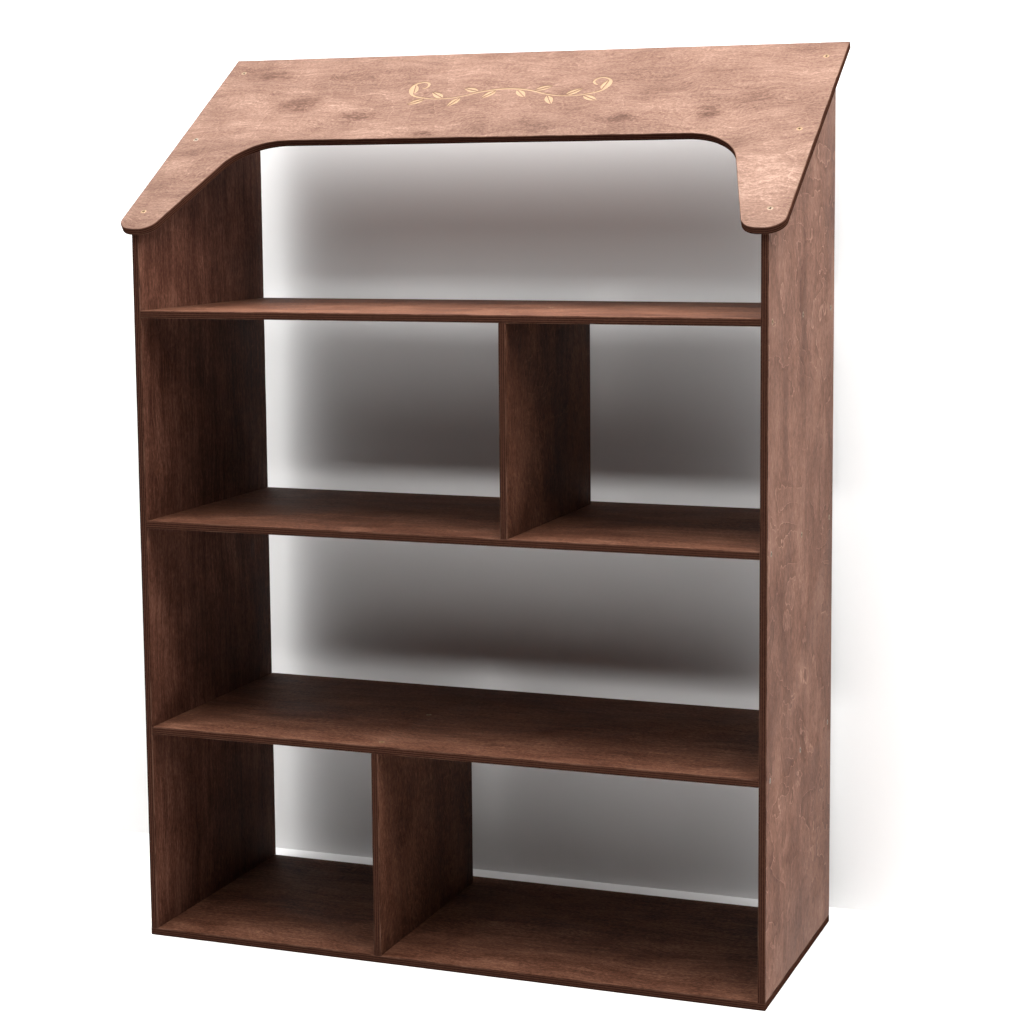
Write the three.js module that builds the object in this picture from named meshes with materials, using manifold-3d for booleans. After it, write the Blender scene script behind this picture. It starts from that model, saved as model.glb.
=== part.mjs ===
// Open dollhouse shelf in screwed plywood: a base, two gabled sides, three shelves,
// two room dividers and a sloping roof panel with a wide rounded cut-out.
// Millimetres, +Z up, front towards -Y. The origin is the middle of the base's underside.
import * as THREE from 'three';
import { mergeVertices } from 'three/addons/utils/BufferGeometryUtils.js';
import Module from 'manifold-3d';

const wasm = await Module();
wasm.setup();

// Carcass
const BODY_WIDTH = 880; // over both sides
const BODY_DEPTH = 365;
const SHEET = 10; // plywood thickness
const ROOM_HEIGHT = 277.5; // clear height of each storey
const SHELF_NAMES = ['lower_shelf', 'middle_shelf', 'upper_shelf'];
const ATTIC_WALL = 104.5; // from the upper shelf up to a side's front corner
const ROOF_RISE = 240; // a side's rear edge is this much taller than its front edge
const DIVIDER_REAR_INSET = 30; // the dividers stop short of the open back
const LOWER_DIVIDER_X = -94; // middle of the sheet
const UPPER_DIVIDER_X = 93;

// Roof panel, measured in its own plane
const ROOF_OVERHANG = 20; // past each side
const ROOF_EAVES_DROP = 5.5; // past the sides' front corners
const ROOF_RIDGE_SETBACK = 2; // short of the sides' rear corners
const ROOF_BAND = 224; // solid strip above the cut-out
const LEG_TOP_WIDTH = 110; // at the height of the cut-out's top edge
const LEG_FOOT_WIDTH = 52; // at the eaves, before rounding
const CUTOUT_RADIUS = 80;
const FOOT_RADIUS = 25;
const SEAT_GAP = 0.3; // between the sides' sloping edges and the roof panel

// Countersunk wood screws with a cross recess
const SCREW_LENGTH = 35;
const SCREW_HEAD_RADIUS = 3.75;
const SCREW_SHANK_RADIUS = 1.75;
const SCREW_TIP = 4; // length of the point
const SCREW_RECESS_DEPTH = 1.8;
const RECESS_ARM = 2; // middle to the end of one arm
const RECESS_SLOT = 0.9; // width of an arm
const HEAD_SINK = 0.2; // head's face below the panel's face
const HOLE_CLEARANCE = 0.3; // all round a screw
const ROUND_SIDES = 12; // facets of a screw and its hole

// Rows of screws
const EDGE_SCREW_INSET = 20; // first and last screw from the front and rear edges
const ROOF_SCREW_LOW_INSET = 42; // from the roof panel's lower edge
const ROOF_SCREW_HIGH_INSET = 37; // from its upper edge
const DIVIDER_SCREW_INSET = 25; // from the front
const DIVIDER_SCREW_PITCH = 163;

// What follows from the sizes above
const SIDE_X = BODY_WIDTH / 2 - SHEET / 2; // middle of a side's sheet
const FRONT_Y = -BODY_DEPTH / 2;
const REAR_Y = BODY_DEPTH / 2;
const shelfTop = (storey) => SHEET + storey * (ROOM_HEIGHT + SHEET);
const EAVES_HEIGHT = shelfTop(SHELF_NAMES.length) + ATTIC_WALL;
const ROOF_PITCH = Math.atan2(ROOF_RISE, BODY_DEPTH);
const SLOPE_LENGTH = Math.hypot(ROOF_RISE, BODY_DEPTH);
const ROOF_LENGTH = SLOPE_LENGTH + ROOF_EAVES_DROP - ROOF_RIDGE_SETBACK;
const DIVIDER_DEPTH = BODY_DEPTH - DIVIDER_REAR_INSET;

// Each piece gets a material of its own.
const finish = (color, roughness, metalness) => () =>
  new THREE.MeshStandardMaterial({ color, roughness, metalness, flatShading: true });
const roofWood = finish(0xa67c68, 0.45, 0);
const sideWood = finish(0x6b4a3d, 0.5, 0);
const shelfWood = finish(0x5a3c32, 0.5, 0);
const screwMetal = finish(0xc9b28a, 0.35, 0.9);

// A closed geometry as a solid that can be cut. Triangles that shrank to a line at a
// lathe's pole are dropped.
function toSolid(geometry) {
  const bare = geometry.clone();
  bare.deleteAttribute('normal');
  bare.deleteAttribute('uv');
  const merged = mergeVertices(bare, 1e-4);
  const corners = merged.index.array;
  const kept = [];
  for (let i = 0; i < corners.length; i += 3) {
    const [a, b, c] = corners.slice(i, i + 3);
    if (a !== b && b !== c && c !== a) kept.push(a, b, c);
  }
  return new wasm.Manifold(new wasm.Mesh({
    numProp: 3,
    vertProperties: new Float32Array(merged.attributes.position.array),
    triVerts: new Uint32Array(kept),
  }));
}

function toGeometry(solid) {
  const mesh = solid.getMesh();
  const geometry = new THREE.BufferGeometry();
  geometry.setAttribute('position', new THREE.BufferAttribute(mesh.vertProperties, 3));
  geometry.setIndex(new THREE.BufferAttribute(mesh.triVerts, 1));
  geometry.computeVertexNormals();
  return geometry;
}

// A turned piece on the Z axis from [radius, z] pairs, listed from the top down.
function turned(profile) {
  const points = profile.map(([radius, z]) => new THREE.Vector2(radius, z)).reverse();
  return new THREE.LatheGeometry(points, ROUND_SIDES).rotateX(Math.PI / 2);
}

function screwGeometry() {
  const headDepth = SCREW_HEAD_RADIUS - SCREW_SHANK_RADIUS; // 90 degree countersink
  const body = turned([
    [0, 0],
    [SCREW_HEAD_RADIUS, 0],
    [SCREW_SHANK_RADIUS, -headDepth],
    [SCREW_SHANK_RADIUS, SCREW_TIP - SCREW_LENGTH],
    [0, -SCREW_LENGTH],
  ]);
  const long = RECESS_ARM;
  const half = RECESS_SLOT / 2;
  const cross = new THREE.Shape([
    [long, -half], [long, half], [half, half], [half, long], [-half, long], [-half, half],
    [-long, half], [-long, -half], [-half, -half], [-half, -long], [half, -long], [half, -half],
  ].map(([x, y]) => new THREE.Vector2(x, y)));
  const recess = new THREE.ExtrudeGeometry(cross, {
    depth: 2 * SCREW_RECESS_DEPTH,
    bevelEnabled: false,
  }).translate(0, 0, -SCREW_RECESS_DEPTH);
  return toGeometry(toSolid(body).subtract(toSolid(recess)));
}

// The countersunk hole that one screw needs. Its facets are drawn round the true circle,
// so that the clearance holds at the flats too.
function holeGeometry() {
  const round = 1 / Math.cos(Math.PI / ROUND_SIDES);
  const mouth = (SCREW_HEAD_RADIUS + HOLE_CLEARANCE) * round;
  const bore = (SCREW_SHANK_RADIUS + HOLE_CLEARANCE) * round;
  return turned([
    [0, SHEET / 2],
    [mouth, SHEET / 2],
    [mouth, 0],
    [bore, bore - mouth],
    [bore, -SCREW_LENGTH - HOLE_CLEARANCE],
    [0, -SCREW_LENGTH - HOLE_CLEARANCE],
  ]);
}

const screwShape = screwGeometry();
const holeShape = holeGeometry();

const house = new THREE.Group();
const roof = new THREE.Group();
roof.position.set(0, FRONT_Y, EAVES_HEIGHT);
roof.rotation.x = ROOF_PITCH;
house.add(roof);

function addPanel(name, geometry, material, position, parent = house) {
  const panel = new THREE.Mesh(geometry, material());
  panel.name = name;
  panel.position.set(...position);
  parent.add(panel);
  return panel;
}

// Cuts a screw's hole out of a panel, whichever group the two of them are in.
function drill(panel, screw) {
  const toPanel = panel.matrixWorld.clone().invert().multiply(screw.matrixWorld);
  const hole = toSolid(holeShape.clone().applyMatrix4(toPanel));
  panel.geometry = toGeometry(toSolid(panel.geometry).subtract(hole));
}

// Drives one screw at a point of a panel's face, along a direction into the wood, and
// drills every panel that it passes through.
function fasten(name, point, direction, panels, parent = house) {
  const screw = new THREE.Mesh(screwShape, screwMetal());
  const inward = new THREE.Vector3(...direction);
  screw.name = name;
  screw.position.set(...point).addScaledVector(inward, HEAD_SINK);
  screw.quaternion.setFromUnitVectors(new THREE.Vector3(0, 0, -1), inward);
  parent.add(screw);
  house.updateMatrixWorld(true);
  panels.forEach((panel) => drill(panel, screw));
}

// A side's outline, front edge first, stood up in the YZ plane.
function sidePanel(name, x) {
  const outline = new THREE.Shape([
    new THREE.Vector2(FRONT_Y, 0),
    new THREE.Vector2(REAR_Y, 0),
    new THREE.Vector2(REAR_Y, EAVES_HEIGHT + ROOF_RISE - SHEET),
    new THREE.Vector2(FRONT_Y, EAVES_HEIGHT - SHEET),
  ]);
  const geometry = new THREE.ExtrudeGeometry(outline, { depth: SHEET, bevelEnabled: false })
    .translate(0, 0, -SHEET / 2)
    .rotateX(Math.PI / 2)
    .rotateZ(Math.PI / 2);
  return addPanel(name, geometry, sideWood, [x, 0, SHEET]);
}

function shelf(name, storey) {
  const geometry = new THREE.BoxGeometry(BODY_WIDTH - 2 * SHEET, BODY_DEPTH, SHEET);
  return addPanel(name, geometry, shelfWood, [0, 0, shelfTop(storey) - SHEET / 2]);
}

function divider(name, x, storey) {
  const geometry = new THREE.BoxGeometry(SHEET, DIVIDER_DEPTH, ROOM_HEIGHT);
  const middle = [x, FRONT_Y + DIVIDER_DEPTH / 2, shelfTop(storey) + ROOM_HEIGHT / 2];
  return addPanel(name, geometry, sideWood, middle);
}

// Rounds an outline's corner: a straight run to the first tangent point, then the arc.
// Both radii are limited by the straight edges beside the corner.
function roundCorner(path, before, corner, after, radius) {
  const back = before.clone().sub(corner);
  const ahead = after.clone().sub(corner);
  const halfAngle = Math.acos(back.dot(ahead) / (back.length() * ahead.length())) / 2;
  const reach = Math.min(radius / Math.tan(halfAngle), back.length() / 2, ahead.length() / 2);
  const fitted = reach * Math.tan(halfAngle);
  const start = corner.clone().addScaledVector(back.normalize(), reach);
  const end = corner.clone().addScaledVector(ahead.normalize(), reach);
  const bisector = back.clone().add(ahead).normalize();
  const centre = corner.clone().addScaledVector(bisector, fitted / Math.sin(halfAngle));
  const from = start.sub(centre).angle();
  const to = end.sub(centre).angle();
  const clockwise = back.cross(ahead) > 0;
  path.absarc(centre.x, centre.y, fitted, from, to, clockwise);
}

// The roof panel in its own plane: x across the house, y up the slope from the eaves.
function roofOutline() {
  const halfWidth = BODY_WIDTH / 2 + ROOF_OVERHANG;
  const low = -ROOF_EAVES_DROP;
  const high = low + ROOF_LENGTH;
  const cutoutTop = high - ROOF_BAND;
  const corners = [
    [halfWidth, high, 0],
    [-halfWidth, high, 0],
    [-halfWidth, low, FOOT_RADIUS],
    [LEG_FOOT_WIDTH - halfWidth, low, FOOT_RADIUS],
    [LEG_TOP_WIDTH - halfWidth, cutoutTop, CUTOUT_RADIUS],
    [halfWidth - LEG_TOP_WIDTH, cutoutTop, CUTOUT_RADIUS],
    [halfWidth - LEG_FOOT_WIDTH, low, FOOT_RADIUS],
    [halfWidth, low, FOOT_RADIUS],
  ].map(([x, y, radius]) => ({ at: new THREE.Vector2(x, y), radius }));
  const outline = new THREE.Shape();
  corners.forEach(({ at, radius }, i) => {
    const before = corners.at(i - 1).at;
    const after = corners[(i + 1) % corners.length].at;
    if (radius > 0) roundCorner(outline, before, at, after, radius);
    else if (i === 0) outline.moveTo(at.x, at.y);
    else outline.lineTo(at.x, at.y);
  });
  outline.closePath();
  return outline;
}

function roofPanel() {
  const geometry = new THREE.ExtrudeGeometry(roofOutline(), {
    depth: SHEET,
    bevelEnabled: false,
    curveSegments: 10,
  });
  return addPanel('roof_panel', geometry, roofWood, [0, 0, SEAT_GAP], roof);
}

const base = addPanel(
  'base_panel',
  new THREE.BoxGeometry(BODY_WIDTH, BODY_DEPTH, SHEET),
  shelfWood,
  [0, 0, SHEET / 2],
);
const sides = { left: sidePanel('left_side', -SIDE_X), right: sidePanel('right_side', SIDE_X) };
const shelves = SHELF_NAMES.map((name, i) => shelf(name, i + 1));
const [lowerShelf, middleShelf, upperShelf] = shelves;
const lowerDivider = divider('lower_divider', LOWER_DIVIDER_X, 0);
const upperDivider = divider('upper_divider', UPPER_DIVIDER_X, 2);
const roofBoard = roofPanel();

// Three screws in a row from the front to the rear, at equal pitch.
const threeAlong = (first, last) => [
  ['front', first],
  ['middle', (first + last) / 2],
  ['rear', last],
];
const edgeRow = threeAlong(FRONT_Y + EDGE_SCREW_INSET, REAR_Y - EDGE_SCREW_INSET);
const roofRow = threeAlong(
  ROOF_SCREW_LOW_INSET - ROOF_EAVES_DROP,
  SLOPE_LENGTH - ROOF_RIDGE_SETBACK - ROOF_SCREW_HIGH_INSET,
);
const dividerRow = [
  ['front', FRONT_Y + DIVIDER_SCREW_INSET],
  ['rear', FRONT_Y + DIVIDER_SCREW_INSET + DIVIDER_SCREW_PITCH],
];

for (const [hand, side] of Object.entries(sides)) {
  const outward = hand === 'left' ? -1 : 1;
  for (const [place, y] of edgeRow) {
    const underSide = [outward * SIDE_X, y, 0];
    fasten(`base_screw_${hand}_${place}`, underSide, [0, 0, 1], [base, side]);
    for (const board of shelves) {
      const name = `${board.name}_screw_${hand}_${place}`;
      const point = [(outward * BODY_WIDTH) / 2, y, board.position.z];
      fasten(name, point, [-outward, 0, 0], [side, board]);
    }
  }
  for (const [place, y] of roofRow) {
    const point = [outward * SIDE_X, y, SEAT_GAP + SHEET];
    fasten(`roof_screw_${hand}_${place}`, point, [0, 0, -1], [roofBoard, side], roof);
  }
}

function fastenDivider(board, below, above) {
  const lowFace = below.position.z - SHEET / 2;
  const highFace = above.position.z + SHEET / 2;
  for (const [place, y] of dividerRow) {
    const { x } = board.position;
    fasten(`${board.name}_screw_bottom_${place}`, [x, y, lowFace], [0, 0, 1], [below, board]);
    fasten(`${board.name}_screw_top_${place}`, [x, y, highFace], [0, 0, -1], [above, board]);
  }
}
fastenDivider(lowerDivider, base, lowerShelf);
fastenDivider(upperDivider, middleShelf, upperShelf);

export default house;
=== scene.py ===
"""Open dollhouse shelf in walnut-stained birch plywood, with a sloping roof board,
room dividers, countersunk screws and an engraved sprig on the roof."""

import math

import bmesh
import bpy
import numpy as np
from mathutils import Matrix, Vector


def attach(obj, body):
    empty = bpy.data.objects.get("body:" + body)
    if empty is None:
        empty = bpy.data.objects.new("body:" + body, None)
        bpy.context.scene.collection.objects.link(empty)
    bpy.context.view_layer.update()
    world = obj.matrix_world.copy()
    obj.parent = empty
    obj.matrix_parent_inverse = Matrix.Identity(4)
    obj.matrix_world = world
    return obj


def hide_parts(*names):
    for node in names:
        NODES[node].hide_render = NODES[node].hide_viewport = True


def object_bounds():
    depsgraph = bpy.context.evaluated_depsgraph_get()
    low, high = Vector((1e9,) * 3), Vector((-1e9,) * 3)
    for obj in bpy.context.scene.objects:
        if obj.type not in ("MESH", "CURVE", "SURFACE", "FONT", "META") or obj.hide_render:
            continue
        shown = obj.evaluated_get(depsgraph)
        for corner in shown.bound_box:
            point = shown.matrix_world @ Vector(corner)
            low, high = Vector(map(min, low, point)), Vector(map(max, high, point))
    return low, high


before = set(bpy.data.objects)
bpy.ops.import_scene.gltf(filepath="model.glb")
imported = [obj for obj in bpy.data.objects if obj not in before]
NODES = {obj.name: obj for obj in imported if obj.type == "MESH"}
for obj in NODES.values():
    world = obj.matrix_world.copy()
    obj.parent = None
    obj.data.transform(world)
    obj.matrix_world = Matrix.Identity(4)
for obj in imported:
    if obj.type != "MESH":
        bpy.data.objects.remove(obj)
CAD_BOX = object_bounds()
UP = Vector((0, 0, 1))
MM = 0.001

# Camera, in metres and degrees
CAMERA_PLACE = (1.0976, -2.7997, 1.0299)
CAMERA_TURN = (83.292, 0.495, 20.700)
CAMERA_LENS = 77.67
CAMERA_SHIFT_Y = -0.0605

# Boards
ARRIS = 0.8 * MM  # radius sanded along every edge
ARRIS_WANDER = 0.25 * MM  # how unevenly it is sanded
OUTLINE_STEP = 9 * MM  # spacing of points along a board's edge
PLIES = 7
WOOD_STEP = np.array((2.3, 1.7))  # metres from one board's wood to the next one's
LOW_FACE, HIGH_FACE, EDGE = 0, 1, 2  # a sheet's material slots

# Finishes, as linear colours
EDGE_DARK = (0.0115, 0.0042, 0.0026, 1.0)
EDGE_LIGHT = (0.064, 0.0270, 0.0175, 1.0)
EDGE_WORN = (0.16, 0.085, 0.058, 1.0)
SHEEN = 0.06  # specular level of a stained face; cut edges stay dull

# Screws
HEAD_RADIUS = 3.75 * MM
HEAD_CROWN = 0.12 * MM
HEAD_RIM = 0.2 * MM  # thickness of the head's edge
SHANK_RADIUS = 1.6 * MM
SCREW_LENGTH = 35 * MM
SCREW_POINT = 5 * MM
RECESS_TOP = 2.7 * MM  # reach of the cross recess from the axis, at the face
RECESS_FLOOR = 1.7 * MM  # and at its bottom
RECESS_SLOT = 1.5 * MM
RECESS_DEPTH = 2.1 * MM
SINK_RADIUS = 4.2 * MM  # mouth of the countersink
SINK_RISE = 0.25 * MM  # the mouth's height above the screw's head
BORE_RADIUS = 2.0 * MM
CUTTER_RISE = 2 * MM  # how far a cutter stands out of the wood
HOLE_STEPS = 32
HEAD_STEPS = 24


# ---------------------------------------------------------------- measuring the frame
def corners(node):
    """The node's vertices as rows, doubles merged."""
    mesh = NODES[node].data
    points = np.array([v.co for v in mesh.vertices])
    return np.unique(points.round(7), axis=0)


def screw_pose(node):
    """(middle of the head's face, direction into the wood) of a CAD screw."""
    points = corners(node)
    middle = points.mean(0)
    axis = np.linalg.svd(points - middle)[2][0]
    along = (points - middle) @ axis
    across = np.linalg.norm(points - middle - np.outer(along, axis), axis=1)
    rim = across > across.max() * 0.98
    if along[rim].mean() > 0:
        axis = -axis
    # The middle of all vertices lies off the axis when facets are uneven, so the
    # head's own rim gives the place.
    return Vector(points[rim].mean(0)), Vector(axis).normalized()


SCREWS = {n: screw_pose(n) for n in sorted(NODES) if "_screw_" in n}


class Board:
    """A CAD sheet with axes of its own: along the face grain, across it and through."""

    def __init__(self, node, grain, through):
        self.node = node
        self.w = Vector(through).normalized()
        self.u = Vector(grain).normalized()
        self.v = self.w.cross(self.u)
        self.axes = np.array([self.u, self.v, self.w])
        local = corners(node) @ self.axes.T
        self.low = local.min(0)
        self.high = local.max(0)
        self.middle = (self.low[2] + self.high[2]) / 2
        self.half = (self.high[2] - self.low[2]) / 2

    def outline(self):
        """The outer edge of the upper face, anticlockwise, as (u, v) pairs."""
        bm = bmesh.new()
        bm.from_mesh(NODES[self.node].data)
        bmesh.ops.remove_doubles(bm, verts=bm.verts, dist=1e-6)
        top = self.high[2] - 1e-5
        upper = [
            f for f in bm.faces if all(v.co.dot(self.w) > top for v in f.verts)
        ]
        follows = {}
        for face in upper:
            for loop in face.loops:
                if sum(f in upper for f in loop.edge.link_faces) == 1:
                    follows[loop.vert] = loop.link_loop_next.vert
        rings = []
        while follows:
            start, vert = follows.popitem()
            ring = [start]
            while vert is not start:
                ring.append(vert)
                vert = follows.pop(vert)
            rings.append([(v.co.dot(self.u), v.co.dot(self.v)) for v in ring])
        bm.free()
        return max(rings, key=lambda ring: abs(ring_area(ring)))


def ring_area(ring):
    """Signed area inside a closed run of (u, v) points."""
    return 0.5 * sum(
        a[0] * b[1] - b[0] * a[1] for a, b in zip(ring, ring[1:] + ring[:1])
    )


def roof_normal():
    """Outward normal of the roof, from its broadest faces."""
    mesh = NODES["roof_panel"].data
    face = max(mesh.polygons, key=lambda p: p.area * (p.normal.z > 0))
    return face.normal.copy()


X_AXIS = Vector((1, 0, 0))
LEVEL = ("base_panel", "lower_shelf", "middle_shelf", "upper_shelf")
UPRIGHT = ("left_side", "right_side", "lower_divider", "upper_divider")
BOARDS = {name: Board(name, X_AXIS, UP) for name in LEVEL}
BOARDS |= {name: Board(name, UP, X_AXIS) for name in UPRIGHT}
BOARDS["roof_panel"] = Board("roof_panel", X_AXIS, roof_normal())
HALF = BOARDS["roof_panel"].half  # half of a sheet's thickness


# ---------------------------------------------------------------- meshes
def new_object(name, data):
    obj = bpy.data.objects.new(name, data)
    bpy.context.scene.collection.objects.link(obj)
    return obj


def finish_faces(mesh, angle=20):
    """Smooth shading with sharp edges past an angle in degrees."""
    mesh.shade_smooth()
    mesh.set_sharp_from_angle(angle=math.radians(angle))


def stepped(ring, step):
    """The same closed run with points added so that none are further apart than step."""
    out = []
    for a, b in zip(ring, ring[1:] + ring[:1]):
        a, b = np.array(a), np.array(b)
        count = max(1, math.ceil(np.linalg.norm(b - a) / step))
        out += [a + (b - a) * i / count for i in range(count)]
    return np.array(out)


def inward_normals(ring):
    """At each point, the direction and length that moves both edges in by one unit."""
    before = np.roll(ring, 1, axis=0)
    after = np.roll(ring, -1, axis=0)
    a = ring - before
    b = after - ring
    a /= np.linalg.norm(a, axis=1)[:, None]
    b /= np.linalg.norm(b, axis=1)[:, None]
    na = np.stack([-a[:, 1], a[:, 0]], 1)
    nb = np.stack([-b[:, 1], b[:, 0]], 1)
    mid = na + nb
    return mid * (2 / (mid * mid).sum(1))[:, None]


def sanded_sheet(board, seed):
    """A sheet with its CAD outline and thickness and unevenly rounded arrises."""
    ring = board.outline()
    if ring_area(ring) < 0:
        ring = ring[::-1]
    ring = stepped(ring, OUTLINE_STEP)
    inward = inward_normals(ring)
    rng = np.random.default_rng(seed)
    count = len(ring)
    wander = np.convolve(rng.normal(size=count + 4), np.ones(5) / 5, "valid")
    radius = ARRIS + ARRIS_WANDER * wander
    levels = []
    for sign in (-1, 1):
        turns = [90, 60, 30, 0] if sign < 0 else [0, 30, 60, 90]
        for degrees in turns:
            c = 1 - math.cos(math.radians(degrees))
            s = 1 - math.sin(math.radians(degrees))
            flat = ring + inward * (radius * c)[:, None]
            height = board.middle + sign * (board.half - radius * s)
            levels.append(np.column_stack([flat, height]))
    verts = np.vstack(levels) @ board.axes
    faces = []
    for k in range(len(levels) - 1):
        for i in range(count):
            j = (i + 1) % count
            low, high = k * count, (k + 1) * count
            faces.append((low + i, low + j, high + j, high + i))
    faces.append(tuple(reversed(range(count))))
    faces.append(tuple(range((len(levels) - 1) * count, len(levels) * count)))
    mesh = bpy.data.meshes.new(board.node)
    mesh.from_pydata(verts.tolist(), [], faces)
    slots = [EDGE] * (len(faces) - 2) + [LOW_FACE, HIGH_FACE]
    mesh.polygons.foreach_set("material_index", slots)
    return mesh


def turned(profile, steps):
    """A closed turned solid about Z from (radius, z) pairs, top first, ends on the axis."""
    bm = bmesh.new()
    rings = []
    for radius, z in profile:
        if radius == 0:
            rings.append([bm.verts.new((0, 0, z))])
            continue
        rings.append([
            bm.verts.new((radius * math.cos(a), radius * math.sin(a), z))
            for a in (2 * math.pi * i / steps for i in range(steps))
        ])
    for upper, lower in zip(rings, rings[1:]):
        for i in range(steps):
            j = (i + 1) % steps
            quad = [ring[k % len(ring)] for ring, k in
                    ((upper, i), (lower, i), (lower, j), (upper, j))]
            bm.faces.new(list(dict.fromkeys(quad)))
    return bm


def onto(place, inward):
    """Matrix that takes a shape built down -Z onto a screw's place and direction."""
    turn = Vector((0, 0, -1)).rotation_difference(inward).to_matrix().to_4x4()
    return Matrix.Translation(place) @ turn


def joined(bms, name):
    """One mesh of several shapes, which are used up."""
    mesh = bpy.data.meshes.new(name)
    whole = bmesh.new()
    for bm in bms:
        part = bpy.data.meshes.new("part")
        bm.to_mesh(part)
        bm.free()
        whole.from_mesh(part)
        bpy.data.meshes.remove(part)
    whole.to_mesh(mesh)
    whole.free()
    return mesh


def hole_cutter(place, inward):
    """A screw's hole as a solid, with a countersink of 90 degrees."""
    bm = turned([
        (0, CUTTER_RISE),
        (SINK_RADIUS, CUTTER_RISE),
        (SINK_RADIUS, SINK_RISE),
        (BORE_RADIUS, SINK_RISE - (SINK_RADIUS - BORE_RADIUS)),
        (BORE_RADIUS, -SCREW_LENGTH - MM),
        (0, -SCREW_LENGTH - MM),
    ], HOLE_STEPS)
    bm.transform(onto(place, inward))
    return bm


def cut(obj, cutter_mesh):
    """Takes the cutter out of the object, whose mesh is replaced."""
    cutter = new_object("cutter", cutter_mesh)
    mod = obj.modifiers.new("cut", "BOOLEAN")
    mod.operation = "DIFFERENCE"
    mod.solver = "EXACT"
    mod.material_mode = "TRANSFER"
    mod.object = cutter
    depsgraph = bpy.context.evaluated_depsgraph_get()
    result = bpy.data.meshes.new_from_object(obj.evaluated_get(depsgraph))
    obj.modifiers.clear()
    old = obj.data
    obj.data = result
    bpy.data.meshes.remove(old)
    bpy.data.objects.remove(cutter)


def passes_through(board, place, inward):
    """True if a screw at this place touches the board."""
    for reach in (1, 8, 16, 30):
        local = board.axes @ np.array(place + inward * reach * MM)
        if np.all(local > board.low) and np.all(local < board.high):
            return True
    return False


def mark_board(obj, board, shift):
    """Stores each vertex's place along, across and through the board."""
    mesh = obj.data
    co = np.empty(len(mesh.vertices) * 3, np.float32)
    mesh.vertices.foreach_get("co", co)
    local = co.reshape(-1, 3) @ board.axes.T.astype(np.float32)
    local -= np.array([shift[0], shift[1], board.middle], np.float32)
    layer = mesh.attributes.new("board", "FLOAT_VECTOR", "POINT")
    layer.data.foreach_set("vector", local.astype(np.float32).ravel())


# ---------------------------------------------------------------- materials
class Tree:
    """Short names for the shader nodes that the finishes share."""

    def __init__(self, name):
        self.material = bpy.data.materials.new(name)
        self.material.use_nodes = True
        self.tree = self.material.node_tree
        self.tree.nodes.clear()
        self.out = self.node("ShaderNodeOutputMaterial")
        self.bsdf = self.node("ShaderNodeBsdfPrincipled")
        self.tree.links.new(self.bsdf.outputs[0], self.out.inputs["Surface"])

    def node(self, kind, **settings):
        node = self.tree.nodes.new(kind)
        for key, value in settings.items():
            setattr(node, key, value)
        return node

    def feed(self, socket, value):
        if isinstance(value, bpy.types.NodeSocket):
            self.tree.links.new(value, socket)
        elif value is not None:
            socket.default_value = value

    def math(self, operation, a, b=None, c=None, clamp=False):
        node = self.node("ShaderNodeMath", operation=operation, use_clamp=clamp)
        for socket, value in zip(node.inputs, (a, b, c)):
            self.feed(socket, value)
        return node.outputs[0]

    def vector(self, operation, a, b=None):
        node = self.node("ShaderNodeVectorMath", operation=operation)
        self.feed(node.inputs[0], a)
        self.feed(node.inputs[1], b)
        return node.outputs["Value" if operation == "LENGTH" else "Vector"]

    def stretch(self, vector, factors):
        return self.vector("MULTIPLY", vector, factors)

    def noise(self, vector, detail=3.0, roughness=0.55, distortion=0.0):
        node = self.node("ShaderNodeTexNoise", noise_dimensions="3D")
        self.feed(node.inputs["Vector"], vector)
        node.inputs["Scale"].default_value = 1.0
        node.inputs["Detail"].default_value = detail
        node.inputs["Roughness"].default_value = roughness
        node.inputs["Distortion"].default_value = distortion
        return node.outputs[0]

    def ramp(self, value, low, high, to_low=0.0, to_high=1.0, smooth=True):
        node = self.node("ShaderNodeMapRange", clamp=True)
        node.interpolation_type = "SMOOTHSTEP" if smooth else "LINEAR"
        self.feed(node.inputs["Value"], value)
        limits = {"From Min": low, "From Max": high, "To Min": to_low, "To Max": to_high}
        for name, number in limits.items():
            self.feed(node.inputs[name], number)
        return node.outputs["Result"]

    def mix(self, factor, a, b, blend="MIX"):
        node = self.node("ShaderNodeMix", data_type="RGBA", blend_type=blend)
        self.feed(node.inputs["Factor"], factor)
        self.feed(node.inputs[6], a)
        self.feed(node.inputs[7], b)
        return node.outputs[2]

    def add(self, *values):
        total = values[0]
        for value in values[1:]:
            total = self.math("ADD", total, value)
        return total

    def bump(self, height, strength, distance):
        node = self.node("ShaderNodeBump")
        node.inputs["Strength"].default_value = strength
        node.inputs["Distance"].default_value = distance
        self.feed(node.inputs["Height"], height)
        self.feed(self.bsdf.inputs["Normal"], node.outputs[0])


def rgb(r, g, b):
    return (r, g, b, 1.0)


def board_place(t):
    """The place along, across and through the board, as a vector and as its three parts."""
    place = t.node("ShaderNodeAttribute", attribute_name="board").outputs["Vector"]
    split = t.node("ShaderNodeSeparateXYZ")
    t.feed(split.inputs[0], place)
    return place, split.outputs


def along_fibres(t, waver):
    """(place, the same place with its grain lines bent) in the board's own coordinates."""
    place, (u, v, w) = board_place(t)
    broad = t.math("SUBTRACT", t.noise(t.stretch(place, (5, 6, 0)), detail=2), 0.5)
    small = t.math("SUBTRACT", t.noise(t.stretch(place, (24, 30, 0)), detail=2), 0.5)
    shift = t.add(
        t.math("MULTIPLY", broad, 0.13 * waver), t.math("MULTIPLY", small, 0.014 * waver)
    )
    bent = t.node("ShaderNodeCombineXYZ")
    t.feed(bent.inputs[0], u)
    t.feed(bent.inputs[1], t.add(v, shift))
    t.feed(bent.inputs[2], w)
    return place, bent.outputs[0]


def tinted(colour, depth):
    """The stain's colour where it took more or less: deeper is also redder."""
    r, g, b = colour
    return rgb(r * depth, g * depth ** 1.22, b * depth ** 1.32)


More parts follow.
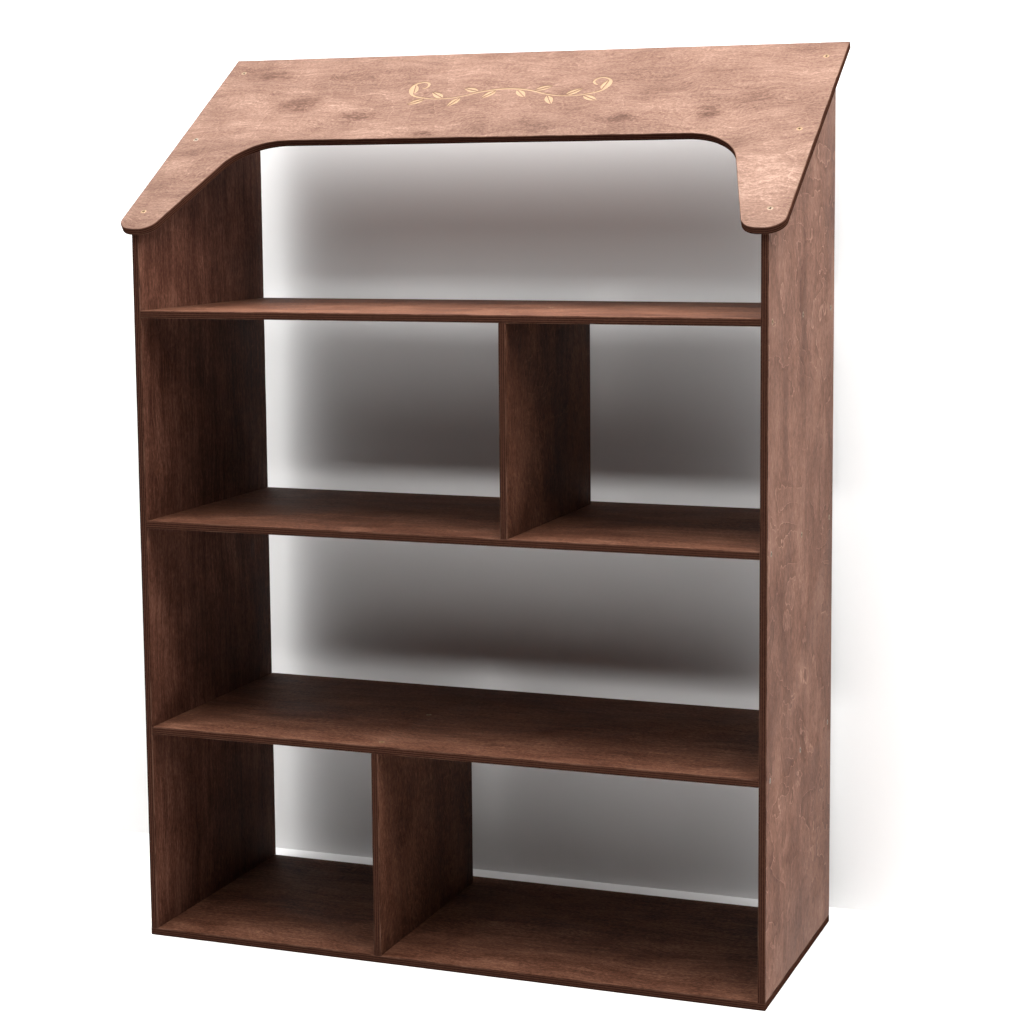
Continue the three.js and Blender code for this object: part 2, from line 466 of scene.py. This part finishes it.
def stained_plywood(
    name, colour, contour=0.3, knots_and_highlight=(),
    spread=1.0, waver=0.3, length=1.0, lines=1.0, flecks=1.0,
):
    """The face of birch plywood under a thin walnut stain. Contour is the strength of its
    wandering rings, spread its contrast, waver how far the grain bends, length how long
    its lines run, and lines and flecks the strength of either."""
    t = Tree(name)
    place, fibres = along_fibres(t, waver)
    fibres = t.stretch(fibres, (1 / length, 1, 0))

    hair = t.noise(t.stretch(fibres, (60, 1000, 0)), detail=2, roughness=0.7)
    fine = t.noise(t.stretch(fibres, (17, 330, 0)), detail=3, roughness=0.7)
    thread = t.noise(t.stretch(fibres, (7, 130, 0)), detail=3, roughness=0.6)
    streak = t.noise(t.stretch(fibres, (3, 42, 0)), detail=3)
    blotch = t.noise(t.stretch(place, (5, 11, 0)), detail=5, roughness=0.6, distortion=0.6)
    cloud = t.noise(t.stretch(place, (13, 17, 0)), detail=4, roughness=0.65)
    fleck = t.noise(t.stretch(fibres, (110, 380, 0)), detail=3, roughness=0.75)
    pore = t.ramp(t.noise(t.stretch(fibres, (90, 1100, 0)), detail=1), 0.60, 0.70)

    # Growth rings cut at a slant show as wandering contour lines, smoky on one side.
    height = t.noise(t.stretch(place, (7.5, 5.0, 0)), detail=3, distortion=0.7)
    teeth = t.noise(t.stretch(place, (22, 75, 0)), detail=3)
    height = t.add(t.math("MULTIPLY", height, 8), t.math("MULTIPLY", teeth, 0.45))
    saw = t.math("FRACT", height)
    line = t.ramp(t.math("PINGPONG", height, 0.5), 0.0, 0.035, 1.0, 0.0)
    broken = t.ramp(t.noise(t.stretch(place, (6, 7, 0)), detail=3), 0.34, 0.56)
    line = t.math("MULTIPLY", line, broken)
    smoke = t.math("MULTIPLY", t.ramp(saw, 0.0, 0.5, 1.0, 0.0), broken)

    def swing(value, amount):
        return t.math("MULTIPLY", t.math("SUBTRACT", value, 0.5), amount * spread)

    tone = t.add(
        swing(blotch, 1.0),
        swing(streak, 0.5 * lines),
        swing(thread, 0.75 * lines),
        swing(fine, lines),
        swing(hair, 0.6),
        swing(fleck, flecks),
        swing(cloud, 0.8),
        t.math("MULTIPLY", smoke, -0.08 * contour),
        t.math("MULTIPLY", line, 0.24 * contour),
        t.math("MULTIPLY", pore, -0.12),
        0.5,
    )
    # Each mark darkens the wood in rings; a negative depth paints a paler patch instead, a
    # painted highlight.
    for at, size, depth in knots_and_highlight:
        offset = t.vector("SUBTRACT", place, (at[0] * MM, at[1] * MM, 0))
        offset = t.stretch(offset, (1 / (size[0] * MM), 1 / (size[1] * MM), 0))
        wobble = t.noise(t.stretch(place, (55, 90, 0)), detail=4)
        distance = t.add(t.vector("LENGTH", offset), t.math("MULTIPLY", wobble, 1.4), -0.7)
        rings = t.math("PINGPONG", t.math("MULTIPLY", distance, 2.6), 0.5)
        rings = t.math("MULTIPLY_ADD", rings, 1.2, 0.7)
        patch = t.ramp(distance, 0.0, 1.3, depth, 0.0)
        tone = t.math("SUBTRACT", tone, t.math("MULTIPLY", patch, rings))
    stain = t.node("ShaderNodeValToRGB")
    stops = stain.color_ramp.elements
    stops[0].position, stops[0].color = 0.0, tinted(colour, 0.32)
    stops[1].position, stops[1].color = 1.0, tinted(colour, 1.9)
    for position, depth in ((0.32, 0.68), (0.62, 1.12)):
        stops.new(position).color = tinted(colour, depth)
    t.feed(stain.inputs[0], tone)
    t.feed(t.bsdf.inputs["Base Color"], stain.outputs[0])
    t.feed(t.bsdf.inputs["Roughness"], t.ramp(t.add(blotch, fine), 0.6, 1.4, 0.55, 0.72))
    t.bsdf.inputs["Specular IOR Level"].default_value = SHEEN
    relief = t.add(
        hair, fine, t.math("MULTIPLY", thread, 0.7), t.math("MULTIPLY", pore, -0.6)
    )
    t.bump(relief, 0.4, 0.2 * MM)
    return t.material


def cut_plies():
    """Stained cut edges: the plies show as stripes, and the arris is worn paler."""
    t = Tree("cut_plies")
    place, (_, _, w) = board_place(t)
    ripple = t.noise(t.stretch(place, (60, 60, 0)), detail=2)
    depth = t.math("MULTIPLY", w, PLIES / (2 * HALF))
    ply = t.add(depth, t.math("MULTIPLY", ripple, 0.35), 0.3)
    stripe = t.ramp(t.math("PINGPONG", ply, 1.0), 0.35, 0.75)
    specks = t.noise(t.stretch(place, (420, 420, 420)), detail=3)
    tone = t.add(t.math("MULTIPLY", stripe, 0.6), t.math("MULTIPLY", specks, 0.7), -0.15)
    worn = t.math(
        "MULTIPLY",
        t.ramp(t.math("ABSOLUTE", w), HALF - 1.0 * MM, HALF - 0.45 * MM),
        t.ramp(t.noise(t.stretch(place, (25, 25, 0)), detail=4), 0.40, 0.62),
    )
    colour = t.mix(t.math("MULTIPLY", worn, 0.55), t.mix(tone, EDGE_DARK, EDGE_LIGHT), EDGE_WORN)
    t.feed(t.bsdf.inputs["Base Color"], colour)
    t.feed(t.bsdf.inputs["Roughness"], t.ramp(specks, 0.3, 0.7, 0.75, 0.95))
    t.bsdf.inputs["Specular IOR Level"].default_value = 0.0
    t.bump(t.add(specks, stripe), 0.3, 0.1 * MM)
    return t.material


def bare_birch():
    """Unstained wood where the stain has been cut through."""
    t = Tree("bare_birch")
    place, fibres = along_fibres(t, 0.3)
    fine = t.noise(t.stretch(fibres, (40, 700, 0)), detail=3, roughness=0.6)
    cloud = t.noise(t.stretch(place, (30, 60, 0)), detail=3)
    tone = t.add(t.math("MULTIPLY", fine, 0.9), t.math("MULTIPLY", cloud, 0.6), -0.25)
    colour = t.mix(tone, rgb(0.145, 0.083, 0.040), rgb(0.245, 0.155, 0.080))
    t.feed(t.bsdf.inputs["Base Color"], colour)
    t.feed(t.bsdf.inputs["Roughness"], t.ramp(fine, 0.3, 0.7, 0.65, 0.8))
    t.bump(fine, 0.3, 0.1 * MM)
    return t.material


def zinc_plate():
    """Silver to brass plating by the screw's tint, nearly black and not metallic in the cross
    recess, where shade is painted.
    """
    t = Tree("zinc_plate")
    tint = t.node("ShaderNodeAttribute", attribute_name="tint").outputs["Fac"]
    place = t.node("ShaderNodeTexCoord").outputs["Object"]
    cloud = t.noise(t.stretch(place, (900, 900, 900)), detail=3)
    colour = t.mix(tint, rgb(0.170, 0.168, 0.165), rgb(0.300, 0.165, 0.062))
    colour = t.mix(t.math("MULTIPLY", cloud, 0.4), colour, rgb(0.035, 0.028, 0.022))
    # Painted shade: the marked recess turns nearly black and loses its metal.
    recess_painted_shade = t.node("ShaderNodeAttribute", attribute_name="recess_painted_shade").outputs["Fac"]
    t.feed(t.bsdf.inputs["Base Color"], t.mix(recess_painted_shade, colour, rgb(0.012, 0.009, 0.007)))
    t.feed(t.bsdf.inputs["Metallic"], t.math("MULTIPLY_ADD", recess_painted_shade, -0.5, 0.5))
    t.feed(t.bsdf.inputs["Roughness"], t.ramp(cloud, 0.3, 0.7, 0.40, 0.60))
    return t.material


def plain(name, colour, rough):
    """An even paint, as a tree that can still be added to."""
    t = Tree(name)
    t.bsdf.inputs["Base Color"].default_value = colour
    t.bsdf.inputs["Roughness"].default_value = rough
    return t


# ---------------------------------------------------------------- engraved sprig
STEM_BENDS = (  # length in mm, turn in radians per mm
    (54, -0.0087), (84, 0.0104), (28, 0.039), (28, 0.065), (24, 0.113),
)
STEM_STEP = 2  # mm
SPRIG_MIDDLE = 120 * MM  # above the middle of the roof board
STROKE = 3.8 * MM
LEAF_GAP = 0.14  # left between stem and leaf, as a part of the leaf's length
LEAF_WIDTH = 0.17  # of either half, likewise
LEAF_ROOT = 0.03  # half of the root's width, likewise
LEAF_VEIN = 0.022  # half of the vein's, likewise
LEAF_TIP = 0.98  # where the halves end, likewise
LEAF_STEPS = 9
ENGRAVING = 0.5 * MM


def stem_points():
    """One half of the stem, in mm from its middle, made of bends that tighten to a curl."""
    x, y, heading = 0.0, 0.0, 0.0
    points = [(x, y)]
    for length, bend in STEM_BENDS:
        for _ in range(int(length / STEM_STEP)):
            heading += bend * STEM_STEP
            x += STEM_STEP * math.cos(heading)
            y += STEM_STEP * math.sin(heading)
            points.append((x, y))
    return points


def leaf_mesh():
    """A leaf cutter of two halves beside a narrow vein, pointing along X, one unit long."""
    bm = bmesh.new()
    for side in (-1, 1):
        vein = side * LEAF_VEIN
        rim = []
        for i in range(1, LEAF_STEPS):
            width = LEAF_WIDTH * math.sin(math.pi * (i / LEAF_STEPS) ** 0.8)
            rim.append((LEAF_GAP + (1 - LEAF_GAP) * i / LEAF_STEPS, vein + side * width))
        ring = [(LEAF_GAP, side * LEAF_ROOT)] + rim + [(LEAF_TIP, vein), (LEAF_GAP, vein)]
        low = [bm.verts.new((x, y, -1)) for x, y in ring]
        high = [bm.verts.new((x, y, 1)) for x, y in ring]
        bm.faces.new(low)
        bm.faces.new(high[::-1])
        for i in range(len(ring)):
            j = (i + 1) % len(ring)
            bm.faces.new((low[j], low[i], high[i], high[j]))
    bmesh.ops.recalc_face_normals(bm, faces=bm.faces)
    mesh = bpy.data.meshes.new("leaf")
    bm.to_mesh(mesh)
    bm.free()
    return mesh


class Nodes:
    """A geometry tree with named inputs and one output."""

    def __init__(self, name, inputs):
        self.tree = bpy.data.node_groups.new(name, "GeometryNodeTree")
        for label, kind in {"Geometry": "Geometry", **inputs}.items():
            self.socket(label, "INPUT", kind)
        self.socket("Geometry", "OUTPUT", "Geometry")
        self.given = self.add("NodeGroupInput").outputs

    def socket(self, label, way, kind):
        self.tree.interface.new_socket(label, in_out=way, socket_type="NodeSocket" + kind)

    def add(self, kind, links=(), **settings):
        node = self.tree.nodes.new(kind)
        for key, value in settings.items():
            setattr(node, key, value)
        for name, value in dict(links).items():
            socket = node.inputs[name]
            if isinstance(value, bpy.types.NodeSocket):
                self.tree.links.new(value, socket)
            else:
                socket.default_value = value
        return node

    def close(self, geometry, material):
        real = self.add("GeometryNodeRealizeInstances", {"Geometry": geometry})
        coat = self.add(
            "GeometryNodeSetMaterial", {"Geometry": real.outputs[0], "Material": material}
        )
        end = self.add("NodeGroupOutput")
        self.tree.links.new(coat.outputs[0], end.inputs[0])


def run_tree(obj, nodes, values):
    """Applies a geometry tree to an object and returns the mesh that it makes."""
    mod = obj.modifiers.new(nodes.tree.name, "NODES")
    mod.node_group = nodes.tree
    for item in nodes.tree.interface.items_tree:
        if item.in_out == "INPUT" and item.name in values:
            mod[item.identifier] = values[item.name]
    obj.update_tag()
    depsgraph = bpy.context.evaluated_depsgraph_get()
    mesh = bpy.data.meshes.new_from_object(obj.evaluated_get(depsgraph))
    obj.modifiers.clear()
    return mesh


def stem_nodes():
    """Sweeps a flat tool along the stem, full at the middle, thinner either side of it and fine
    at the curl.
    """
    n = Nodes("engraved_stem", {"Stroke": "Float", "Depth": "Float", "Wood": "Material"})
    along = n.add("GeometryNodeSplineParameter").outputs["Factor"]
    swell = n.add("ShaderNodeFloatCurve", {"Value": along})
    curve = swell.mapping.curves[0]
    curve.points[0].location = (0, 0.5)
    curve.points[1].location = (1, 0.5)
    for x, y in ((0.12, 1.0), (0.28, 0.6), (0.5, 1.0), (0.72, 0.6), (0.88, 1.0)):
        curve.points.new(x, y)
    swell.mapping.update()
    level = n.add(
        "GeometryNodeSetCurveNormal", {"Curve": n.given["Geometry"]}, mode="Z_UP"
    )
    deep = n.add("ShaderNodeMath", {0: n.given["Depth"], 1: 2.0}, operation="MULTIPLY")
    blade = n.add(
        "GeometryNodeCurvePrimitiveQuadrilateral",
        {"Width": n.given["Stroke"], "Height": deep.outputs[0]},
    )
    swept = n.add("GeometryNodeCurveToMesh", {
        "Curve": level.outputs[0], "Profile Curve": blade.outputs[0],
        "Scale": swell.outputs[0], "Fill Caps": True,
    })
    n.close(swept.outputs[0], n.given["Wood"])
    return n


def leaf_nodes():
    """Sets leaves of one size along the stem by turns on either side, stopping short of the
    curl.
    """
    n = Nodes("engraved_leaves", {
        "Leaf": "Object", "Spacing": "Float", "Length": "Float", "Depth": "Float",
        "Lean": "Float", "Reach": "Float", "Wood": "Material",
    })
    cut_off = n.add(
        "GeometryNodeTrimCurve",
        {"Curve": n.given["Geometry"], 2: 0.06, 3: n.given["Reach"]},  # start and end
        mode="FACTOR",
    )
    points = n.add(
        "GeometryNodeCurveToPoints",
        {"Curve": cut_off.outputs[0], "Length": n.given["Spacing"]},
        mode="LENGTH",
    )
    index = n.add("GeometryNodeInputIndex").outputs[0]
    odd = n.add("ShaderNodeMath", {0: index, 1: 2.0}, operation="MODULO").outputs[0]
    side = n.add("ShaderNodeMath", {0: odd, 1: 2.0, 2: -1.0}, operation="MULTIPLY_ADD")
    lean = n.add(
        "ShaderNodeMath", {0: side.outputs[0], 1: n.given["Lean"]}, operation="MULTIPLY"
    )
    turn = n.add(
        "FunctionNodeAlignRotationToVector",
        {"Vector": points.outputs["Tangent"]},
        axis="X", pivot_axis="Z",
    )
    about = n.add(
        "FunctionNodeAxisAngleToRotation", {"Axis": (0, 0, 1), "Angle": lean.outputs[0]}
    )
    turned_leaf = n.add(
        "FunctionNodeRotateRotation",
        {0: turn.outputs[0], 1: about.outputs[0]},
        rotation_space="LOCAL",
    )
    leaf = n.add(
        "GeometryNodeObjectInfo", {"Object": n.given["Leaf"]}, transform_space="ORIGINAL"
    )
    size = n.add(
        "ShaderNodeCombineXYZ",
        {0: n.given["Length"], 1: n.given["Length"], 2: n.given["Depth"]},
    )
    leaves = n.add("GeometryNodeInstanceOnPoints", {
        "Points": points.outputs["Points"], "Instance": leaf.outputs["Geometry"],
        "Rotation": turned_leaf.outputs[0], "Scale": size.outputs[0],
    })
    n.close(leaves.outputs[0], n.given["Wood"])
    return n


def poly_curve(name, points):
    """A curve object through points given in mm."""
    curve = bpy.data.curves.new(name, "CURVE")
    curve.dimensions = "3D"
    spline = curve.splines.new("POLY")
    spline.points.add(len(points) - 1)
    for point, (x, y) in zip(spline.points, points):
        point.co = (x * MM, y * MM, 0, 1)
    return new_object(name, curve)


def mirrored(mesh):
    """A copy of a flat tool reflected in X, facing outwards."""
    bm = bmesh.new()
    bm.from_mesh(mesh)
    for vert in bm.verts:
        vert.co.x = -vert.co.x
    bmesh.ops.reverse_faces(bm, faces=bm.faces)
    copy = mesh.copy()
    bm.to_mesh(copy)
    bm.free()
    return copy


def flourish_tools(board):
    """The cutters that engrave the sprig: stem first, then the leaves of either half."""
    half = stem_points()
    stem = poly_curve("stem", [(-x, y) for x, y in half[:0:-1]] + half)
    branch = poly_curve("branch", half)
    leaf = new_object("leaf", leaf_mesh())
    band = (board.low + board.high) / 2
    origin = np.array([band[0], band[1] + SPRIG_MIDDLE, board.high[2]]) @ board.axes
    turn = Matrix((board.u, board.v, board.w)).transposed().to_4x4()
    onto_roof = Matrix.Translation(origin) @ turn
    stem_values = {"Stroke": STROKE, "Depth": ENGRAVING, "Wood": BARE}
    leaf_values = {
        "Leaf": leaf, "Spacing": 0.0235, "Length": 0.030, "Depth": ENGRAVING,
        "Lean": 0.75, "Reach": 0.66, "Wood": BARE,
    }
    leaves = run_tree(branch, leaf_nodes(), leaf_values)
    tools = [run_tree(stem, stem_nodes(), stem_values), leaves, mirrored(leaves)]
    for tool in tools:
        tool.transform(onto_roof)
    for obj in (stem, branch, leaf):
        bpy.data.objects.remove(obj)
    return tools


# ---------------------------------------------------------------- building the boards
KNOTS_AND_HIGHLIGHT = [  # place from the roof board's middle and size in mm, how much darker (< 0: paler, which paints a highlight)
    ((-380, 170), (42, 14), 0.30),
    ((-307, 90), (36, 22), 0.34),
    ((-210, 55), (32, 14), 0.32),
    ((-88, 7), (22, 9), 0.40),
    ((305, 45), (20, 20), 0.34),
    ((190, 40), (20, 12), 0.22),
    # A paler patch on the roof's right leg: a painted highlight, not a knot.
    ((402, -110), (62, 78), -0.24),
]
BARE = bare_birch()
ROOF_WOOD = stained_plywood(
    "roof_stain", (0.1335, 0.0765, 0.0555), 0.6, KNOTS_AND_HIGHLIGHT,
    spread=0.72, waver=0.8, length=0.5, lines=0.75, flecks=1.3,
)
# The sides' outer and inner faces are lit and shaded copies of one stain: the inner copy, about
# half as bright, is painted shade for the inside of the house.
LIT_SIDE_WOOD = stained_plywood(
    "side_stain", (0.149, 0.0745, 0.0515), 1.9, spread=0.95, lines=0.35, flecks=1.2
)
SHADED_SIDE_WOOD = stained_plywood(
    "side_stain_painted_shade", (0.074, 0.0285, 0.0175), 0.5, lines=1.1, flecks=1.6
)
# The dividers and shelves inside the house take darker copies of the stain, about half as bright
# as the roof's: painted shade for the inside, over their own grain and tone.
SHADED_DIVIDER_WOOD = stained_plywood(
    "divider_stain_and_shade", (0.078, 0.0305, 0.0175), 1.0, waver=0.8, lines=0.7, flecks=2.0
)
SHADED_SHELF_WOOD = stained_plywood(
    "shelf_stain_and_shade", (0.0935, 0.0385, 0.0225), 0.5, waver=0.6, length=0.7, flecks=2.0
)
CUT_PLIES = cut_plies()
SHELF_FACES = (SHADED_SHELF_WOOD, SHADED_SHELF_WOOD, "shelf_plywood")
DIVIDER_FACES = (SHADED_DIVIDER_WOOD, SHADED_DIVIDER_WOOD, "upright_plywood")
WOODS = {  # the face towards lower and towards higher X, Y or Z
    "roof_panel": (ROOF_WOOD, ROOF_WOOD, "roof_plywood"),
    # The sides' inner faces take the shaded copy, which is painted shade; their outer faces take
    # the lit one.
    "left_side": (LIT_SIDE_WOOD, SHADED_SIDE_WOOD, "upright_plywood"),
    "right_side": (SHADED_SIDE_WOOD, LIT_SIDE_WOOD, "upright_plywood"),
    "lower_divider": DIVIDER_FACES,
    "upper_divider": DIVIDER_FACES,
    **dict.fromkeys(LEVEL, SHELF_FACES),
}


def make_board(name, number):
    """Builds a sheet with its holes and its finishes, from its own stretch of wood."""
    board = BOARDS[name]
    low_face, high_face, slot = WOODS[name]
    if sum(board.w) < 0:
        low_face, high_face = high_face, low_face
    obj = new_object(name + "_sanded", sanded_sheet(board, number))
    finishes = {LOW_FACE: low_face, HIGH_FACE: high_face, EDGE: CUT_PLIES}
    used = list(dict.fromkeys(finishes.values()))
    for material in used:
        obj.data.materials.append(material)
    for face in obj.data.polygons:
        face.material_index = used.index(finishes[face.material_index])
    holes = joined([
        hole_cutter(place, inward)
        for place, inward in SCREWS.values()
        if passes_through(board, place, inward)
    ], "holes")
    holes.materials.append(BARE)
    cut(obj, holes)
    if name == "roof_panel":
        for tool in flourish_tools(board):
            cut(obj, tool)
    finish_faces(obj.data)
    shift = (board.low + board.high)[:2] / 2
    if name != "roof_panel":  # the places of knot patches and of the painted highlight count from the roof board's middle
        shift = shift - number * WOOD_STEP
    mark_board(obj, board, shift)
    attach(obj, "root")
    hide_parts(name)


for number, name in enumerate(BOARDS):
    make_board(name, number)


# ---------------------------------------------------------------- screws
def screw_object():
    """One screw at the origin, head up, with a tapered cross recess marked for painted shade."""
    cone = HEAD_RADIUS - SHANK_RADIUS
    bm = turned([
        (0, HEAD_CROWN),
        (HEAD_RADIUS * 0.55, 0.1 * MM),
        (HEAD_RADIUS * 0.93, 0),
        (HEAD_RADIUS, -HEAD_RIM),
        (SHANK_RADIUS, -cone - HEAD_RIM),
        (SHANK_RADIUS, SCREW_POINT - SCREW_LENGTH),
        (0, -SCREW_LENGTH),
    ], HEAD_STEPS)
    mesh = bpy.data.meshes.new("screw")
    bm.to_mesh(mesh)
    bm.free()
    obj = new_object("screw", mesh)
    for turn in (0, 90):
        blade = bmesh.new()
        bmesh.ops.create_cube(blade, size=1)
        for v in blade.verts:
            reach, z = (RECESS_TOP, 1.0 * MM) if v.co.z > 0 else (RECESS_FLOOR, -RECESS_DEPTH)
            v.co = Vector((v.co.x * 2 * reach, v.co.y * RECESS_SLOT, z))
        blade.transform(Matrix.Rotation(math.radians(turn), 4, "Z"))
        cut(obj, joined([blade], "recess"))
    margin = 0.1 * MM  # the recess's own corners lie inside these limits
    # The recess's vertices are marked so that the plating paints shade into them.
    recess_painted_shade = obj.data.attributes.new("recess_painted_shade", "FLOAT", "POINT")
    for vert, value in zip(obj.data.vertices, recess_painted_shade.data):
        x, y, z = vert.co
        near = math.hypot(x, y) < RECESS_TOP + 2 * margin
        value.value = float(near and -RECESS_DEPTH - margin < z < -margin / 2)
    finish_faces(obj.data, angle=35)
    return obj


def screw_nodes():
    """Sets one screw on every point, turned along its direction and at random about it."""
    n = Nodes("screws_on_points", {"Screw": "Object", "Plating": "Material", "Seed": "Int"})
    shape = n.add(
        "GeometryNodeObjectInfo", {"Object": n.given["Screw"]}, transform_space="ORIGINAL"
    )
    outward = n.add(
        "GeometryNodeInputNamedAttribute", {"Name": "outward"}, data_type="FLOAT_VECTOR"
    )
    lean = n.add("FunctionNodeAlignRotationToVector", {"Vector": outward.outputs[0]}, axis="Z")
    spin = n.add(
        "FunctionNodeRandomValue",
        {3: 2 * math.pi, "Seed": n.given["Seed"]},  # up to a full turn
        data_type="FLOAT",
    )
    about = n.add(
        "FunctionNodeAxisAngleToRotation", {"Axis": (0, 0, 1), "Angle": spin.outputs[1]}
    )
    spun = n.add(
        "FunctionNodeRotateRotation",
        {0: lean.outputs[0], 1: about.outputs[0]},
        rotation_space="LOCAL",
    )
    placed = n.add("GeometryNodeInstanceOnPoints", {
        "Points": n.given["Geometry"], "Instance": shape.outputs["Geometry"],
        "Rotation": spun.outputs[0],
    })
    shade = n.add("FunctionNodeRandomValue", {"Seed": n.given["Seed"]}, data_type="FLOAT")
    plated = n.add(
        "GeometryNodeStoreNamedAttribute",
        {"Geometry": placed.outputs[0], "Name": "tint", "Value": shade.outputs[1]},
        data_type="FLOAT", domain="INSTANCE",
    )
    n.close(plated.outputs[0], n.given["Plating"])
    return n


def make_screws():
    """All screws as one piece, each in its CAD place."""
    template = screw_object()
    points = bpy.data.meshes.new("wood_screws")
    points.from_pydata([place for place, _ in SCREWS.values()], [], [])
    layer = points.attributes.new("outward", "FLOAT_VECTOR", "POINT")
    layer.data.foreach_set("vector", [-c for _, inward in SCREWS.values() for c in inward])
    obj = new_object("wood_screws", points)
    values = {"Screw": template, "Plating": zinc_plate(), "Seed": 4}
    obj.data = run_tree(obj, screw_nodes(), values)
    bpy.data.objects.remove(template)
    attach(obj, "root")
    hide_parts(*SCREWS)


make_screws()


# ---------------------------------------------------------------- studio
ROOM = 3.0  # half the width of the floor and the wall
WALL_HEIGHT = 3.6
WALL_GAP = 0.062  # between the house and the wall


def backdrop(name, corners, material):
    """A flat rectangle that isn't part of the object; anticlockwise corners face it."""
    mesh = bpy.data.meshes.new(name)
    mesh.from_pydata(corners, [], [(0, 1, 2, 3)])
    mesh.materials.append(material)
    new_object(name, mesh)


def one_sided(t):
    """Makes a paint clear from behind, so that the back of the house can be seen."""
    behind = t.node("ShaderNodeNewGeometry").outputs["Backfacing"]
    clear = t.node("ShaderNodeBsdfTransparent")
    blend = t.node("ShaderNodeMixShader")
    t.feed(blend.inputs[0], behind)
    t.feed(blend.inputs[1], t.bsdf.outputs[0])
    t.feed(blend.inputs[2], clear.outputs[0])
    t.feed(t.out.inputs["Surface"], blend.outputs[0])
    return t.material


floor_paint = plain("floor_paint", rgb(0.88, 0.875, 0.87), 0.6).material
backdrop(
    "floor", [(-ROOM, -ROOM, 0), (ROOM, -ROOM, 0), (ROOM, ROOM, 0), (-ROOM, ROOM, 0)],
    floor_paint,
)
wall_paint = one_sided(plain("wall_paint", rgb(0.89, 0.885, 0.88), 0.85))
wall_y = CAD_BOX[1].y + WALL_GAP
backdrop("wall", [
    (-ROOM, wall_y, 0), (ROOM, wall_y, 0),
    (ROOM, wall_y, WALL_HEIGHT), (-ROOM, wall_y, WALL_HEIGHT),
], wall_paint)


def area_light(name, place, target, size, watts):
    """A soft rectangular light that the camera doesn't see."""
    data = bpy.data.lights.new(name, "AREA")
    data.shape = "RECTANGLE"
    data.size, data.size_y = size
    data.energy = watts
    obj = new_object(name, data)
    obj.visible_camera = False
    obj.location = place
    obj.rotation_euler = (Vector(target) - Vector(place)).to_track_quat("-Z", "Y").to_euler()


SOFTBOXES = {  # place, target, size and watts
    "front_softbox": ((0, -1.6, 3.0), (0, 0, 0.8), (3.2, 2.4), 64),
    "right_softbox": ((2.2, -0.9, 2.8), (0, 0, 0.8), (1.8, 1.8), 56),
    "wall_strip": ((0, 0.02, 3.0), (0, 0.02, 0.8), (3.5, 0.35), 70),
    "ceiling_softbox": ((0, -0.9, 3.2), (0, -0.1, 0.8), (3.4, 1.2), 84),
    "roof_strip": ((0, -0.4, 2.4), (0, -0.2, 0.8), (3.0, 0.5), 31),
}
for name, (place, target, size, watts) in SOFTBOXES.items():
    area_light(name, place, target, size, watts)

# The pale surround is seen but gives no light.
world = bpy.data.worlds.new("studio")
world.use_nodes = True
surround = world.node_tree.nodes["Background"]
surround.inputs["Color"].default_value = rgb(0.93, 0.93, 0.93)
rays = world.node_tree.nodes.new("ShaderNodeLightPath")
world.node_tree.links.new(rays.outputs["Is Camera Ray"], surround.inputs["Strength"])
bpy.context.scene.world = world
bpy.context.scene.view_settings.view_transform = "Standard"

camera_data = bpy.data.cameras.new("camera")
camera_data.lens = CAMERA_LENS
camera_data.sensor_width = 36
camera_data.shift_y = CAMERA_SHIFT_Y
camera = new_object("camera", camera_data)
camera.location = CAMERA_PLACE
camera.rotation_euler = [math.radians(a) for a in CAMERA_TURN]
bpy.context.scene.camera = camera
